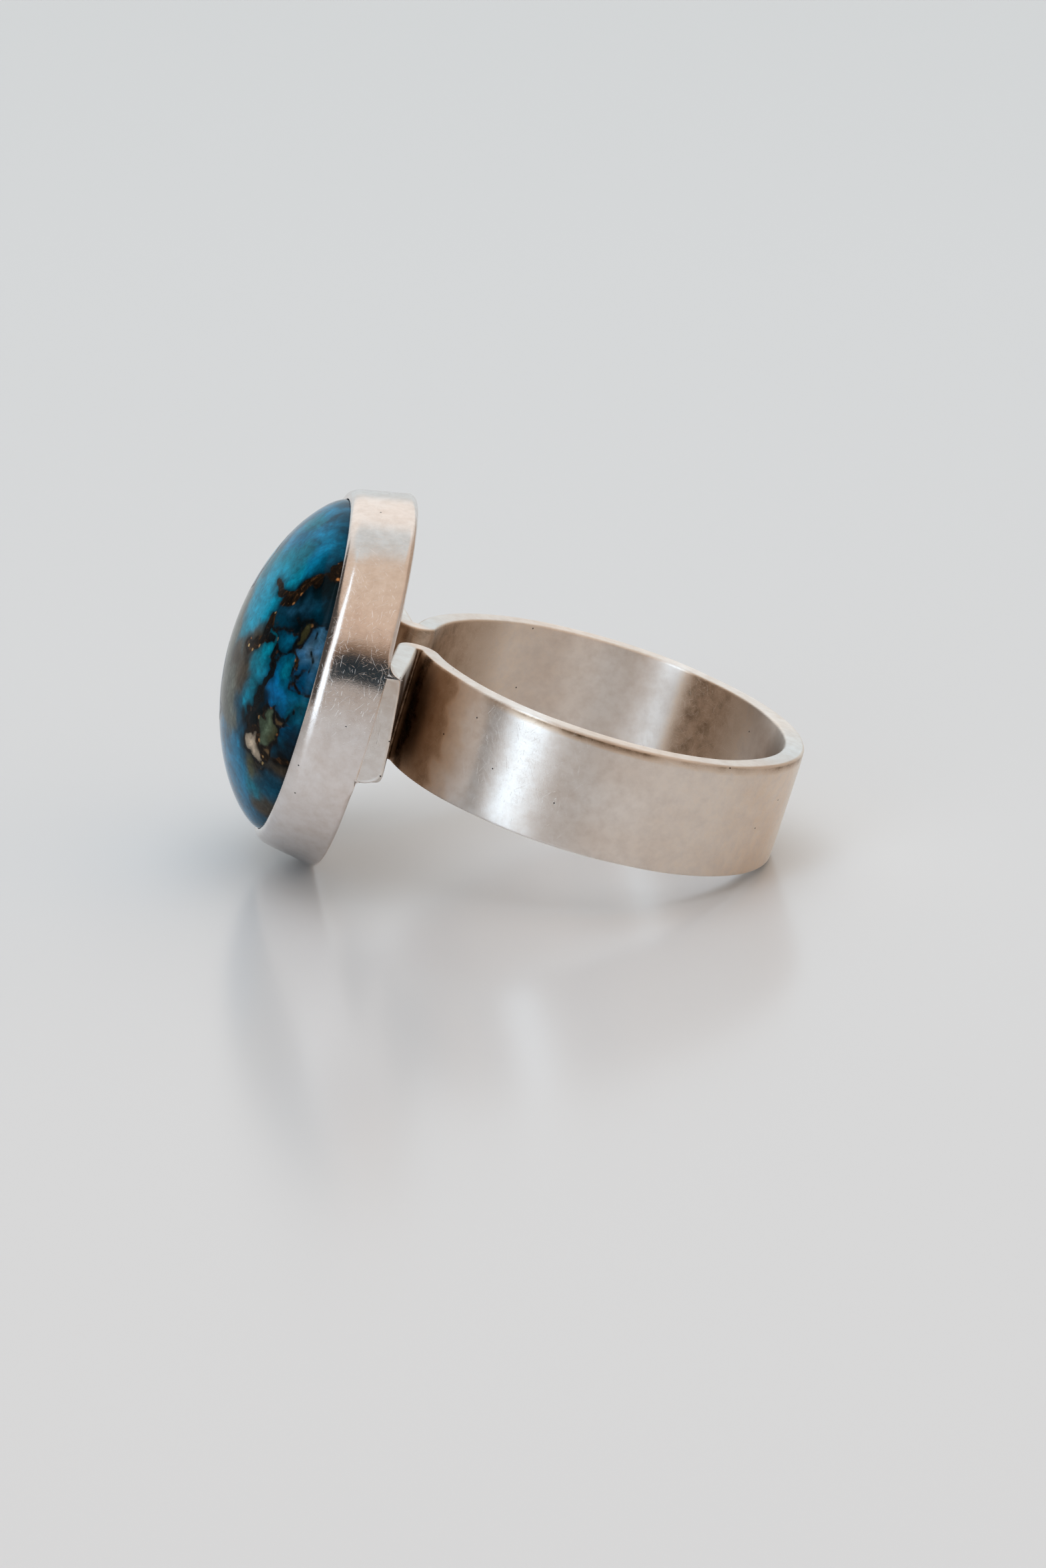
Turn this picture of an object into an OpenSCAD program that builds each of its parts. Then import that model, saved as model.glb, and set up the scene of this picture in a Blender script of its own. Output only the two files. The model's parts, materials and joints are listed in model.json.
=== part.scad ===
// A silver ring with a large round domed turquoise, lying on its side as it rests by itself.
// The band is one flat strip. It runs round the finger, folds back on itself at both ends, and each end is a foot
// that runs out to the edge of the bezel's back plate, where it is soldered.
// The ring's own frame has x from the lip of the bezel through the finger hole, y across the bezel and z along the
// finger. The whole ring is then tilted about y until the bezel and the far side of the band both touch z = 0.

/* [Finger hole] */
// Inner diameter of the band
finger_d = 17.3; // [15:0.1:20]

/* [Band] */
// Width of the strip, along the finger
band_w = 5.6; // [4:0.1:7]
// Thickness of the strip
band_t = 1.05; // [0.9:0.05:1.3]
// Rounding of the strip's edges and of the bezel's back edge
edge_r = 0.2; // [0.1:0.05:0.3]

/* [Feet] */
// Distance from the middle line to the centre of each fold
fold_y = 2.2; // [1.8:0.1:3]
// Gap between the back plate and each foot, beside its fold
foot_lift = 0.7; // [0.4:0.05:1]
// Distance from the middle line at which each foot meets the back plate
foot_seat_y = 7.1; // [6:0.1:8]
// Rounding of the outer lower corner at the end of each foot
foot_corner_r = 0.9; // [0.5:0.1:1.2]
// Angle at which that rounding runs out along the foot
foot_corner_toe = 8; // [5:1:12]

/* [Bezel] */
// Outer diameter at the back plate
bezel_d = 18.1; // [17:0.1:20]
// Depth from the lip to the back of the plate
bezel_h = 3.1; // [2.8:0.1:4]
// Angle by which the wall leans in towards the lip
wall_lean = 10; // [4:1:15]
// Thickness of the wall
wall_t = 0.5; // [0.4:0.05:0.7]
// Thickness of the back plate
plate_t = 0.4; // [0.3:0.05:0.6]
// Rounding of the shoulder, where the wall is pushed over the stone
shoulder_r = 0.5; // [0.4:0.05:0.7]
// Rounding of the lip on the stone's side
lip_r = 0.1; // [0.05:0.01:0.15]

/* [Stone] */
// Height of the dome above the lip
dome_h = 3.55; // [2.5:0.05:5]
// Fullness of the dome: 1 is an ellipse, and more is more pointed
dome_power = 1.4; // [1:0.05:2]
// Clearance between the stone and the silver
stone_gap = 0.1; // [0.05:0.01:0.2]

/* [Hidden] */
$fn = 96;

// Small overlaps and steps that keep one surface from just grazing another
fold_step = 0.02;
foot_inset = 0.05;

finger_r = finger_d / 2;
outer_r = finger_r + band_t;
bezel_r = bezel_d / 2;

// The fold's centre lies on the strip's outer face, and that places the finger hole behind the bezel
fold_x = bezel_h + foot_lift + band_t;
finger_x = fold_x + sqrt(outer_r * outer_r - fold_y * fold_y);
foot_slope = atan2(foot_lift, foot_seat_y - fold_y);
foot_end = (bezel_r - fold_y) / cos(foot_slope);

// The wall's outer face is the line at wall_offset from the axis, measured along its normal
back_edge = [bezel_r - edge_r, bezel_h - edge_r];
wall_normal = [cos(wall_lean), -sin(wall_lean)];
wall_offset = wall_normal * back_edge + edge_r;
shoulder_x = (wall_offset - shoulder_r + shoulder_r * sin(wall_lean)) / cos(wall_lean);
lip_inner_r = shoulder_x - lip_r;
plate_front = bezel_h - plate_t;
cup_inner_r = (wall_offset - wall_t + plate_front * sin(wall_lean)) / cos(wall_lean);

// A line that touches both rounded edges is the surface on which the ring rests
rest_bezel = [bezel_h - edge_r, -(bezel_r - edge_r)];
rest_band = [finger_x + outer_r - edge_r, -(band_w / 2 - edge_r)];
tilt = atan2(rest_band[1] - rest_bezel[1], rest_band[0] - rest_bezel[0]);

function arc(centre, r, from, to, steps) =
    [for (i = [0:steps]) let (a = from + (to - from) * i / steps) centre + r * [cos(a), sin(a)]];

// Rectangle from x0 to x1, as high as the strip is wide, with all four corners rounded
function strip_section(x0, x1) = let (h = band_w / 2 - edge_r) concat(
    arc([x1 - edge_r, h], edge_r, 0, 90, 3),
    arc([x0 + edge_r, h], edge_r, 90, 180, 3),
    arc([x0 + edge_r, -h], edge_r, 180, 270, 3),
    arc([x1 - edge_r, -h], edge_r, 270, 360, 3));

// The dome's section: the radius is a sine, and the height a power of the cosine, of one angle
dome_base_r = lip_inner_r - stone_gap;
function dome(a) = [dome_base_r * sin(a), -dome_h * pow(cos(a), dome_power)];
dome_section = [for (i = [0:17]) dome(5 * i)];

// Heights and lengths of points once the ring is tilted, to put it on z = 0 with its box centred on x = 0
function tilted_x(p) = p[0] * cos(tilt) + p[1] * sin(tilt);
function tilted_z(p) = -p[0] * sin(tilt) + p[1] * cos(tilt);
far_x = tilted_x([rest_band[0], -rest_band[1]]) + edge_r;
near_x = min([for (p = dome_section) tilted_x([p[1], -p[0]])]);
low_z = tilted_z(rest_band) - edge_r;

// Lays the ring, drawn in its own frame, on the surface that it rests on
module at_rest() {
    translate([-(far_x + near_x) / 2, 0, -low_z])
        rotate([0, tilt, 0])
            children();
}

// Turns a shape of revolution about z into one about x, so that its height runs from the lip to the back
module about_x() {
    rotate([0, 90, 0])
        children();
}

// The round part of the band, open between its two folds
module band() {
    difference() {
        translate([finger_x, 0, 0])
            rotate_extrude()
                polygon(strip_section(finger_r, outer_r));
        translate([0, -fold_y, -band_w])
            cube([finger_x - finger_r / 2, 2 * fold_y, 2 * band_w]);
    }
}

// The tight bend in which the strip turns back on itself
module fold() {
    fold_r = band_t - fold_step;
    h = band_w / 2;
    translate([fold_x, fold_y, 0])
        rotate_extrude()
            polygon(concat(
                [[0, -h]],
                arc([fold_r - edge_r, -h + edge_r], edge_r, 270, 360, 3),
                arc([fold_r - edge_r, h - edge_r], edge_r, 0, 90, 3),
                [[0, h]]));
}

// Takes the outer lower corner off the end of a foot, as a file does: less and less away from the end
module foot_corner() {
    reach = foot_end / 2;
    translate([-foot_corner_r, foot_end, foot_corner_r - band_w / 2])
        rotate([foot_corner_toe - 90, 0, foot_corner_toe])
            translate([0, 0, -reach])
                difference() {
                    cube([2 * foot_corner_r, 2 * foot_corner_r, 2 * reach]);
                    translate([0, 0, -1])
                        cylinder(r = foot_corner_r, h = 2 * reach + 2);
                }
}

// The straight end of the strip, cut flush with the bezel
module foot() {
    intersection() {
        translate([fold_x, fold_y, 0])
            rotate([0, 0, foot_slope])
                difference() {
                    translate([-band_t, 0, 0])
                        rotate([-90, 0, 0])
                            linear_extrude(foot_end + 1)
                                polygon(strip_section(0, band_t));
                    foot_corner();
                }
        about_x()
            cylinder(r = bezel_r - foot_inset, h = 2 * bezel_h);
    }
}

// The shallow cup that holds the stone: back plate, leaning wall, rounded shoulder and lip
module bezel() {
    about_x()
        rotate_extrude()
            polygon(concat(
                [[0, bezel_h]],
                arc(back_edge, edge_r, 90, -wall_lean, 4),
                arc([shoulder_x, shoulder_r], shoulder_r, -wall_lean, -90, 5),
                arc([shoulder_x, lip_r], lip_r, -90, -180, 3),
                [[cup_inner_r, plate_front], [0, plate_front]]));
}

// All the silver, soldered into one piece
module ring_mount() {
    color("#c9bdb2")
        at_rest() {
            band();
            bezel();
            for (side = [0, 1]) {
                mirror([0, side, 0]) {
                    fold();
                    foot();
                }
            }
        }
}

// The stone: a flat base and a side that leans in under the lip, below a full dome
module cabochon() {
    color("#1585b0")
        at_rest()
            about_x()
                rotate_extrude()
                    polygon(concat(
                        dome_section,
                        [[dome_base_r, 0],
                         [dome_base_r, lip_r],
                         [cup_inner_r - stone_gap, plate_front - stone_gap],
                         [0, plate_front - stone_gap]]));
}

ring_mount();
cabochon();
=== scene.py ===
import json

import bpy
import numpy as np
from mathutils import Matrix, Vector


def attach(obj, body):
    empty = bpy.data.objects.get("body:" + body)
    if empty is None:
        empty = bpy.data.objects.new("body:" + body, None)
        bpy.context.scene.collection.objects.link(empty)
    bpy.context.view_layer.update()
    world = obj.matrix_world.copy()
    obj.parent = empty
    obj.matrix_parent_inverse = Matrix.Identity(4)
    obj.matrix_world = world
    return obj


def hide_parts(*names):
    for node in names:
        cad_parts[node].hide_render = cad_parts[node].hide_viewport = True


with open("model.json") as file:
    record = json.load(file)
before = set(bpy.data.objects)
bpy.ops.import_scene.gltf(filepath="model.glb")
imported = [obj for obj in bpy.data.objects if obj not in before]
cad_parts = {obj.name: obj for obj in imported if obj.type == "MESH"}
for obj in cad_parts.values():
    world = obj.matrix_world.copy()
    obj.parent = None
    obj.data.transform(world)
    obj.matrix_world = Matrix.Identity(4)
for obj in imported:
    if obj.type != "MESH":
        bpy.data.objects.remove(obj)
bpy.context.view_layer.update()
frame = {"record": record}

# Band
# One flat strip of sterling silver, rolled, sawn to width and bent round a mandrel. Both ends are folded back
# on themselves into feet, which run out to the bezel's edge. Its edges are filed and its face is sanded to a
# satin.

MM = 0.001
hole = next(m for m in frame["record"]["mounts"] if m["name"] == "finger_hole")
finger_r = hole["dims"]["r_mm"]
strip_t = 1.05
strip_edge_r = 0.2
strip_w = hole["dims"]["length_mm"] + 2 * strip_edge_r
half_t, half_w = strip_t / 2, strip_w / 2
fold_y = 2.2
foot_lift = 0.7
foot_seat_y = 7.1
bezel_h = 3.1
bezel_r = 9.05
wall_lean = np.radians(10)
lean_cos, lean_sin = np.cos(wall_lean), np.sin(wall_lean)
cad_edge_r = 0.2
wall_reach = lean_cos * (bezel_r - cad_edge_r) - lean_sin * (bezel_h - cad_edge_r) + cad_edge_r

foot_end_r = bezel_r - 0.02
foot_back = np.array([bezel_h + foot_lift + strip_t, fold_y])
strip_outer_r = finger_r + strip_t
hole_x = foot_back[0] + np.sqrt(strip_outer_r**2 - fold_y**2)


def to_row(points):
    """Ring's own millimetres to the row's metres. In the ring's frame x runs from the bezel's lip through the
    finger hole, y across the bezel, z along the finger. The record's mount places the hole and its axis."""
    up = np.array(hole["axis"])
    away = np.array([up[2], 0, -up[0]])
    x, y, z = np.moveaxis(np.asarray(points, float), -1, 0)
    offset = (x - hole_x)[..., None] * away + z[..., None] * up + y[..., None] * np.array([0, 1, 0])
    return np.array(hole["pos_m"]) + offset * MM


def wall_radius(x):
    """Radius of the leaning wall's outer face at the depth x: a straight line, 10 degrees off the axis."""
    return (wall_reach + x * lean_sin) / lean_cos


def smoothstep(t):
    """0 below 0, 1 above 1, and 3t^2 - 2t^3 between."""
    t = np.clip(t, 0, 1)
    return t * t * (3 - 2 * t)


def wander(s, seed, wavelength, terms=5):
    """A line that wanders between about -1 and 1: a sum of sines with seeded phases. Their wavelengths are
    the whole, a half, a third and so on of the given one, and each is as strong as its part of it."""
    rng = np.random.default_rng(seed)
    total = np.zeros_like(np.asarray(s, float))
    for k in range(1, terms + 1):
        total = total + np.sin(2 * np.pi * k * s / wavelength + rng.uniform(0, 2 * np.pi)) / k
    return total / 1.6


def closed_stack(name, rings, uv, **attributes):
    """A closed mesh from a stack of closed rings, in the ring's frame. Neighbouring rings are joined by quads
    and each end is closed by a fan to its middle. uv has one column more than the rings, so that it may be
    cut at the seam. An attribute is a number or a colour for each point."""
    count, around = rings.shape[:2]
    i, j = np.meshgrid(np.arange(count - 1), np.arange(around), indexing="ij")
    after = (j + 1) % around
    here, above = i * around, (i + 1) * around
    quads = np.stack([here + j, here + after, above + after, above + j], -1).reshape(-1, 4)
    corner_uv = np.stack([uv[i, j], uv[i, j + 1], uv[i + 1, j + 1], uv[i + 1, j]], 2).reshape(-1, 4, 2)
    first, last = count * around, count * around + 1
    k = np.arange(around)
    end = (count - 1) * around
    fans = np.concatenate([
        np.stack([np.full(around, first), (k + 1) % around, k], -1),
        np.stack([np.full(around, last), end + k, end + (k + 1) % around], -1),
    ])
    fan_uv = np.concatenate([
        np.stack([np.broadcast_to(uv[0].mean(0), (around, 2)), uv[0, k + 1], uv[0, k]], 1),
        np.stack([np.broadcast_to(uv[-1].mean(0), (around, 2)), uv[-1, k], uv[-1, k + 1]], 1),
    ])
    points = to_row(np.concatenate([rings.reshape(-1, 3), [rings[0].mean(0), rings[-1].mean(0)]]))
    triangles = np.concatenate([quads[:, [0, 1, 2]], quads[:, [0, 2, 3]], fans])
    a, b, c = (points[triangles[:, n]] for n in range(3))
    if np.einsum("ij,ij->i", a, np.cross(b, c)).sum() < 0:
        quads, corner_uv = quads[:, ::-1], corner_uv[:, ::-1]
        fans, fan_uv = fans[:, ::-1], fan_uv[:, ::-1]
    mesh = bpy.data.meshes.new(name)
    mesh.from_pydata(points.tolist(), [], quads.tolist() + fans.tolist())
    mesh.polygons.foreach_set("use_smooth", np.ones(len(mesh.polygons), bool))
    layer = mesh.uv_layers.new(name="surface_mm")
    layer.data.foreach_set("uv", np.concatenate([corner_uv.reshape(-1), fan_uv.reshape(-1)]))
    for key, values in attributes.items():
        wide = values.ndim == 3
        flat = values.reshape(count * around, -1)
        flat = np.concatenate([flat, [flat[:around].mean(0), flat[-around:].mean(0)]])
        made = mesh.attributes.new(key, "FLOAT_COLOR" if wide else "FLOAT", "POINT")
        if wide:
            made.data.foreach_set("color", np.c_[flat, np.ones(len(flat))].ravel())
        else:
            made.data.foreach_set("value", flat.ravel())
    mesh.update()
    piece = bpy.data.objects.new(name, mesh)
    bpy.context.scene.collection.objects.link(piece)
    return piece


def strip_line(s):
    """Middle line of the strip seen along the finger, at the distances s from its near end: points and the
    directions in which its outer face looks. It is a straight foot, the arc of a fold, and the arc round the
    finger, and the second half is the mirror image of the first. The fold's arc touches the foot's line and
    the finger's arc."""
    crease_r = 0.05
    slope = np.arctan2(foot_lift, foot_seat_y - fold_y)
    out = np.array([-np.sin(slope), np.cos(slope)])
    to_plate = np.array([-np.cos(slope), -np.sin(slope)])
    middle = np.array([hole_x, 0])
    turn_r = half_t + crease_r
    mid_r = finger_r + half_t
    start = foot_back - crease_r * to_plate
    b = out @ (start - middle)
    c = (start - middle) @ (start - middle) - (strip_outer_r + crease_r) ** 2
    along = -b + np.sqrt(b * b - c)
    if abs(-b - np.sqrt(b * b - c)) < abs(along):
        along = -b - np.sqrt(b * b - c)
    pivot = start + along * out
    foot_from = foot_back + half_t * to_plate
    foot_top = (foot_end_r - foot_from[1]) / out[1]
    foot_length = foot_top - along
    angle_0 = np.arctan2(to_plate[1], to_plate[0]) + 2 * np.pi
    angle_1 = np.arctan2(*(middle - pivot)[::-1]) + 2 * np.pi
    fold_length = turn_r * (angle_1 - angle_0)
    round_0 = np.arctan2(*(pivot - middle)[::-1])
    half = foot_length + fold_length + mid_r * round_0
    q = np.minimum(s, 2 * half - s)
    side = np.where(s < half, -1.0, 1.0)
    on_foot = q < foot_length
    on_fold = (q >= foot_length) & (q < foot_length + fold_length)
    parts = [on_foot, on_fold]
    down_foot = foot_top - q
    turn = angle_0 + (q - foot_length) / turn_r
    round_a = round_0 - (q - foot_length - fold_length) / mid_r
    x = np.select(parts, [foot_from[0] + out[0] * down_foot, pivot[0] + turn_r * np.cos(turn)],
                  middle[0] + mid_r * np.cos(round_a))
    y = np.select(parts, [foot_from[1] + out[1] * down_foot, pivot[1] + turn_r * np.sin(turn)],
                  mid_r * np.sin(round_a))
    nx = np.select(parts, [-to_plate[0] + 0 * q, -np.cos(turn)], np.cos(round_a))
    ny = np.select(parts, [-to_plate[1] + 0 * q, -np.sin(turn)], np.sin(round_a))
    return dict(x=x, y=y * side, nx=nx, ny=ny * side, from_end=q, on_foot=on_foot, half=half,
                fold_end=foot_length + fold_length, root_y=pivot[1])


def strip_section(radii, corner_points=6, face_points=15, rim_points=3):
    """The strip's section: rounded rectangles, one for each row of radii, which gives those of the four
    corners. Returns the distance from the middle towards the outer face, the distance along the finger, and
    the length round the section."""
    edge_points = [rim_points, face_points] * 2
    corners = []
    for n, (out, up) in enumerate([(1, 1), (-1, 1), (-1, -1), (1, -1)]):
        r = radii[:, n][:, None]
        turn = np.radians(90 * n + np.linspace(0, 90, corner_points))
        corner = np.stack([out * (half_t - r) + r * np.cos(turn), up * (half_w - r) + r * np.sin(turn)])
        corners.append(corner)
    parts = []
    for n, corner in enumerate(corners):
        t = np.arange(1, edge_points[n] + 1) / (edge_points[n] + 1)
        parts += [corner, corner[..., -1:] * (1 - t) + corners[(n + 1) % 4][..., :1] * t]
    u, w = np.concatenate(parts, -1)
    step = np.hypot(np.diff(u, axis=1, append=u[:, :1]), np.diff(w, axis=1, append=w[:, :1]))
    return u, w, np.concatenate([np.zeros((len(u), 1)), np.cumsum(step, 1)], 1)


# Worn edges, and at the ends a file's marks: the lower outer corner is rounded and the lower edge rises
worn_edge_r = 0.14
filed_corner_r = 0.88
filed_up = 0.36
filed_length = 2.6
end_edge_r = 0.06
flush_gap = 0.012

# The strip's stations: at each end the end face's rings shrink to its middle, then comes its rounded edge
strip_total = 2 * strip_line(np.array([0.0]))["half"]
body_s = np.linspace(0, strip_total, 760)
body_s = body_s[(body_s > end_edge_r * 1.5) & (body_s < strip_total - end_edge_r * 1.5)]
end_turn = np.radians(np.linspace(0, 90, 6))
cap_share = np.array([0.06, 0.2, 0.36, 0.52, 0.68, 0.84, 0.96])
cap_s = np.concatenate([0 * cap_share, end_edge_r * (1 - np.cos(end_turn))])
strip_s = np.concatenate([cap_s, body_s, strip_total - cap_s[::-1]])
edge_inset = end_edge_r * (1 - np.sin(end_turn))
cap_inset = np.concatenate([np.full(len(cap_share), end_edge_r), edge_inset])
strip_inset = np.concatenate([cap_inset, 0 * body_s, cap_inset[::-1]])
cap_scale = np.concatenate([cap_share, np.ones(len(end_turn))])
strip_scale = np.concatenate([cap_scale, np.ones(len(body_s)), cap_scale[::-1]])
on_cap = strip_scale < 1
line = strip_line(strip_s)
from_end = line["from_end"][:, None]
s_column = strip_s[:, None]
near_end = smoothstep(1 - from_end / filed_length)
corner_r = np.full((len(strip_s), 4), worn_edge_r)
corner_r[:, 2] = worn_edge_r * (1 - 0.5 * near_end[:, 0])
corner_r[:, 3] = worn_edge_r + (filed_corner_r - worn_edge_r) * near_end[:, 0]
u, w, girth = strip_section(corner_r)
u = u * ((1 - strip_inset / half_t) * strip_scale)[:, None]
w = w * ((1 - strip_inset / half_w) * strip_scale)[:, None]

# The feet are swollen by their solder, the strip is thinner towards its edges, and nothing is dead straight
face_from, face_soft = 0.72, 0.2
swell_length = 5
thin_w, thin_share = 0.9, 0.09
wavy_w, wavy_t = 0.02, 0.012
outer_face = smoothstep((u / half_t - face_from) / face_soft)
w = w + filed_up * near_end * smoothstep(-w / 1.5)
foot_swell = (0.12 - 0.09 * w) * smoothstep(1 - from_end / swell_length) * (u / strip_t + 0.5)
edge_share = np.clip((np.abs(w) - (half_w - thin_w)) / thin_w, 0, 1)
u = u * (1 - thin_share * edge_share**2) - 0.015 * np.sign(u)
u = u + foot_swell
w = w + np.sign(w) * wavy_w * (wander(s_column + 3 * np.sign(w), 11, 17) - 1.3) * strip_scale[:, None]
u = u + wavy_t * wander(s_column + 0.8 * w, 12, 13) * np.abs(u) / half_t

# The feet are stretched outwards, so that their ends lie flush with the bezel's wall
px = line["x"][:, None] + line["nx"][:, None] * u
py = line["y"][:, None] + line["ny"][:, None] * u
root_y = line["root_y"]
flush = np.sqrt((wall_radius(px) - flush_gap) ** 2 - w**2)
foot_end_y = foot_end_r + np.abs(line["ny"])[:, None] * u
share = (np.abs(py) - root_y) / (foot_end_y - root_y)
on_foot = line["on_foot"][:, None] & (share > 0)
py = np.where(on_foot, np.sign(py) * (root_y + share * (flush - root_y)), py)
strip_points = np.stack([px, py, w], -1)

# Tarnish along the two faces, and painted shade in the notch at each fold: distance in mm past the crease,
# on the foot negative, and how dark it is there. The upper arris of the outer face has a thin dark line
# besides, where the polish doesn't reach, darkest on the near side, and the inside of the far side has a
# broad dark patch, a painted dark reflection.
# Near the crease these values are tarnish deepened by painted shade in the notch between foot and band.
OUTER = [(-7.0, 0.1), (-4.5, 0.22), (-3.0, 0.5), (-1.7, 0.62), (-1.55, 0.75), (-0.05, 0.75), (0.1, 0.42),
         (0.4, 0.42), (0.65, 0.82), (1.1, 0.82), (1.4, 0.4), (2.4, 0.42), (3.0, 0.5), (3.5, 0.5), (3.8, 0.2),
         (4.6, 0.12), (5.0, 0.0), (10.0, 0.0), (15.0, 0.14), (21.0, 0.24), (27.0, 0.28)]
INNER = [(-7.0, 0.1), (0.0, 0.58), (3.0, 0.52), (6.0, 0.3), (9.0, 0.16), (13.0, 0.03), (27.0, 0.05)]
arris_in, arris_half = 0.16, 0.05
# How dark the painted reflection is: a broad dark patch inside the far side of the band.
painted_reflection_tone = 0.54
past_fold = from_end - line["fold_end"]
frayed = 0.25 * wander(w, 14, 3.1) + 0.2 * wander(w + 0.4 * s_column, 15, 1.3)
tone_at = past_fold + smoothstep(past_fold / 2) * frayed
strip_darkening = outer_face * np.interp(tone_at, *np.array(OUTER).T)
inner_face = smoothstep((-u / half_t - face_from) / face_soft)
# A broad dark patch painted on the inner face of the far side, standing in for a dark reflection.
painted_reflection = smoothstep((s_column - 37.5) / 5) * smoothstep((44.7 - s_column) / 1.3)
strip_darkening = strip_darkening + inner_face * (np.interp(tone_at, *np.array(INNER).T) + painted_reflection_tone * painted_reflection)
arris = np.exp(-((w - (half_w - arris_in)) / arris_half) ** 2) * outer_face
arris = arris * smoothstep((past_fold - 4.5) / 2)
darkest = smoothstep((s_column - 14.5) / 2) * smoothstep((23 - s_column) / 2)
arris_tone = 0.3 + 0.15 * wander(s_column, 16, 5.3) + 0.4 * darkest
strip_darkening = np.clip(strip_darkening + arris * arris_tone, 0, 1)
strip_uv = np.stack([np.broadcast_to(s_column, girth.shape), girth], -1)
cap_uv = np.stack([px, w], -1)[:, list(range(px.shape[1])) + [0]]
strip_uv = np.where(on_cap[:, None, None], cap_uv, strip_uv)
band = closed_stack("band", strip_points, strip_uv, toning=strip_darkening)


def linear(hex_colour):
    """An sRGB hex colour as linear red, green, blue and alpha."""
    c = np.array([int(hex_colour[n:n + 2], 16) for n in (1, 3, 5)]) / 255
    return (*np.where(c <= 0.04045, c / 12.92, ((c + 0.055) / 1.055) ** 2.4).tolist(), 1.0)


def add(tree, kind, out=0, **values):
    """Adds a node and returns one of its outputs. A name in small letters is a setting of the node, a
    capitalised one an input, with _ for a space, and in_ with a number the input of that number. A socket is
    linked to the input, and anything else is its value. stops are a colour ramp's pairs of position and
    colour."""
    node = tree.nodes.new("ShaderNode" + kind)
    for key, value in values.items():
        numbered = key.startswith("in_")
        if key == "stops":
            elements = node.color_ramp.elements
            elements[0].position, elements[1].position = value[0][0], value[-1][0]
            for position, _ in value[1:-1]:
                elements.new(position)
            for element, (_, colour) in zip(elements, value):
                element.color = linear(colour)
        elif key[0].islower() and not numbered:
            setattr(node, key, value)
        else:
            socket = node.inputs[int(key[3:]) if numbered else key.replace("_", " ")]
            if isinstance(value, bpy.types.NodeSocket):
                tree.links.new(value, socket)
            else:
                socket.default_value = value
    return node.outputs[out] if node.outputs else node


def scratches(tree, surface, spacing, length, seed):
    """Hairline scratches in all directions, 1 on a line and 0 beside it. The surface is parted into cells,
    and each has one line through its own point, at its own angle and bent a little, most of them faint.
    Distances are in millimetres, and a line is 0.013 wide, more than a real one, so that it shows."""
    half_width = 0.0065
    bend = 0.06
    faintness = 1.7
    moved = add(tree, "VectorMath", operation="ADD", in_0=surface, in_1=(seed * 13.7, seed * 7.3, 0))
    cells = add(tree, "TexVoronoi", voronoi_dimensions="2D", Vector=moved, Scale=1 / spacing).node.outputs
    chance = add(tree, "SeparateColor", Color=cells["Color"]).node.outputs
    apart = add(tree, "VectorMath", operation="SUBTRACT", in_0=moved, in_1=cells["Position"])
    angle = add(tree, "Math", operation="MULTIPLY", in_0=chance[0], in_1=2 * np.pi)
    turned = add(tree, "VectorRotate", rotation_type="Z_AXIS", Vector=apart, Angle=angle)
    along, across, _ = add(tree, "SeparateXYZ", Vector=turned).node.outputs
    bow = add(tree, "Math", operation="MULTIPLY", in_0=along, in_1=along)
    bent = add(tree, "Math", operation="MULTIPLY_ADD", in_0=bow, in_1=bend, in_2=across)
    aside = add(tree, "Math", operation="ABSOLUTE", in_0=bent)
    onward = add(tree, "Math", operation="ABSOLUTE", in_0=along)
    thin = add(tree, "MapRange", interpolation_type="SMOOTHSTEP", Value=aside, From_Min=half_width,
               From_Max=0.0)
    tapered = add(tree, "MapRange", interpolation_type="SMOOTHSTEP", Value=onward, From_Min=length / 2,
                  From_Max=length / 5)
    line = add(tree, "Math", operation="MULTIPLY", in_0=thin, in_1=tapered)
    depth = add(tree, "Math", operation="POWER", in_0=chance[1], in_1=faintness)
    return add(tree, "Math", operation="MULTIPLY", in_0=line, in_1=depth)


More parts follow.
